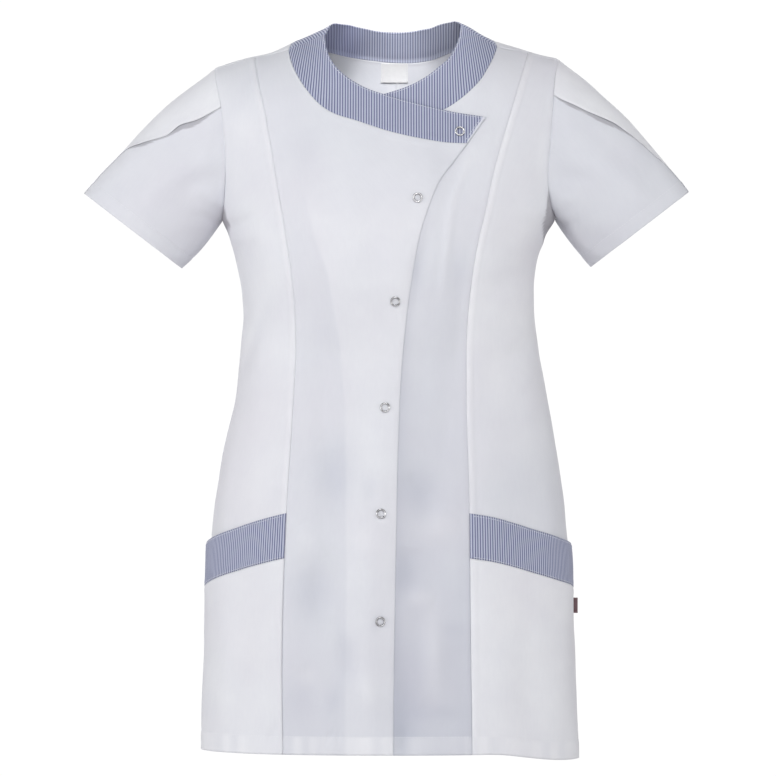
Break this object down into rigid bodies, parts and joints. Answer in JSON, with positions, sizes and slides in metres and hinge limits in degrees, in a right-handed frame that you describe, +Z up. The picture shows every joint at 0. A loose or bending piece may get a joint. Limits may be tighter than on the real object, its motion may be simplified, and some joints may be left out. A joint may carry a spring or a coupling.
{
  "type": "work blouse",
  "caption": "White short-sleeved work blouse with crossed snap fronts, a striped neck band, striped pocket bands and lapped sleeves, in its worn form with nobody in it",
  "frame": {"origin": "midway between the two shoulder tips, on the line where the shoulders carry the blouse", "axes": "+Z is up, the front faces -Y, and +X runs to the wearer's left"},
  "size_m": [0.6294, 0.2637, 0.7653],
  "materials": {
    "white_cloth": "matt plain weave of cotton and polyester",
    "striped_cloth": "matt, fine navy and white stripes",
    "snap_metal": "bright nickel plate",
    "label_cloth": "smooth woven tape, blank",
    "tab_cloth": "dark red-brown woven tape, blank"
  },
  "bodies": {
    "root": {"front_right_centre": "white_cloth", "front_right_side": "white_cloth", "front_left_centre": "white_cloth", "front_left_side": "white_cloth", "back_right": "white_cloth", "back_left": "white_cloth", "neck_band_right": "striped_cloth", "neck_band_left": "striped_cloth", "neck_band_back": "striped_cloth", "sleeve_front_right": "white_cloth", "sleeve_front_left": "white_cloth", "sleeve_top_right": "white_cloth", "sleeve_top_left": "white_cloth", "pocket_right": "white_cloth", "pocket_left": "white_cloth", "pocket_band_right": "striped_cloth", "pocket_band_left": "striped_cloth", "snap_1": "snap_metal", "snap_2": "snap_metal", "snap_3": "snap_metal", "snap_4": "snap_metal", "snap_5": "snap_metal", "snap_6": "snap_metal", "neck_label": "label_cloth", "side_tab": "tab_cloth"}
  },
  "joints": []
}
